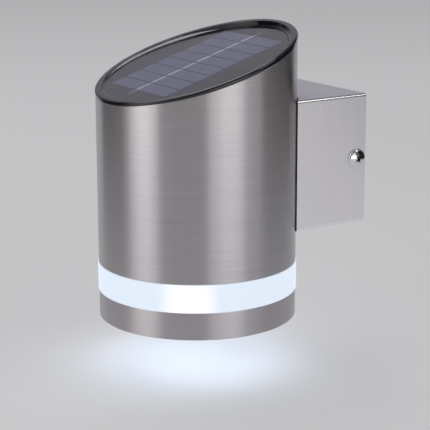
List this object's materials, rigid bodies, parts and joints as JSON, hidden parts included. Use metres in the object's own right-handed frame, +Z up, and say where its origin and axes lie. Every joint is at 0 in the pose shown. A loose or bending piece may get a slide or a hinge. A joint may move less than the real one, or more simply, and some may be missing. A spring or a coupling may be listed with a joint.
{
  "type": "solar wall light",
  "caption": "Brushed steel wall light: slanted tube with a solar panel in a black oval rim, a lit frosted band, a steel base ring and a square bracket box for the wall.",
  "frame": {"origin": "middle of the wall plate's back face, where it lies on the wall", "axes": "+Y into the wall, +Z up, the lamp stands off towards -Y"},
  "size_m": [0.0907, 0.1189, 0.1311],
  "materials": {
    "brushed_tube": "fine grain round the tube",
    "bracket_steel": "fine upright grain",
    "gloss_black": "polished",
    "black_plastic": "fine texture",
    "black_rubber": "satin",
    "clear_window": "clear and flat",
    "solar_blue": "dark blue-grey with fine lines",
    "silver_line": "tinned",
    "panel_brown": "grey-brown board",
    "frosted_lens": "frosted, lit from inside",
    "bright_screw": "bright zinc",
    "zinc_steel": "zinc-plated sheet",
    "spacer_metal": "cut tube",
    "light_board": "white solder mask",
    "chip_yellow": "phosphor",
    "reflector_white": "white sheet",
    "cell_wrap": "green shrink wrap",
    "contact_metal": "nickel-plated",
    "board_green": "green solder mask",
    "chip_black": "moulded",
    "coil_grey": "ferrite",
    "capacitor_blue": "sleeved",
    "socket_ivory": "moulded",
    "switch_metal": "tinned case",
    "knob_white": "moulded",
    "lead_colour": "red and black insulation",
    "lead_grey": "grey insulation"
  },
  "bodies": {
    "lamp": {"body_tube": "brushed_tube", "base_ring": "brushed_tube", "bracket_box": "bracket_steel", "top_bezel": "gloss_black", "panel_tray": "black_plastic", "chassis": "black_plastic", "battery_holder": "black_plastic", "battery_cover": "black_plastic", "switch_shroud": "black_plastic", "rim_seal": "black_rubber", "cup_seal": "black_rubber", "saddle_gasket": "black_rubber", "panel_window": "clear_window", "solar_cells": "solar_blue", "cell_busbar": "silver_line", "panel_board": "panel_brown", "lens_cup": "frosted_lens", "side_screws": "bright_screw", "tie_screws": "bright_screw", "cover_screws": "bright_screw", "board_screws": "bright_screw", "wall_plate": "zinc_steel", "saddle_plate": "zinc_steel", "saddle_bolts": "zinc_steel", "saddle_nuts": "zinc_steel", "flange_nuts": "zinc_steel", "spacer_tubes": "spacer_metal", "led_board": "light_board", "led_chips": "chip_yellow", "reflector": "reflector_white", "battery_cell": "cell_wrap", "battery_spring": "contact_metal", "battery_contact": "contact_metal", "control_board": "board_green", "driver_chip": "chip_black", "storage_coil": "coil_grey", "capacitor": "capacitor_blue", "wire_sockets": "socket_ivory", "switch_body": "switch_metal", "panel_leads": "lead_colour", "battery_leads": "lead_colour", "led_leads": "lead_colour", "switch_leads": "lead_grey"},
    "knob": {"switch_knob": "knob_white"}
  },
  "joints": [
    {"name": "switch_slide", "type": "slide", "parent": "lamp", "child": "knob", "axis": [1, 0, 0], "range_m": [0, 0.003]}
  ]
}
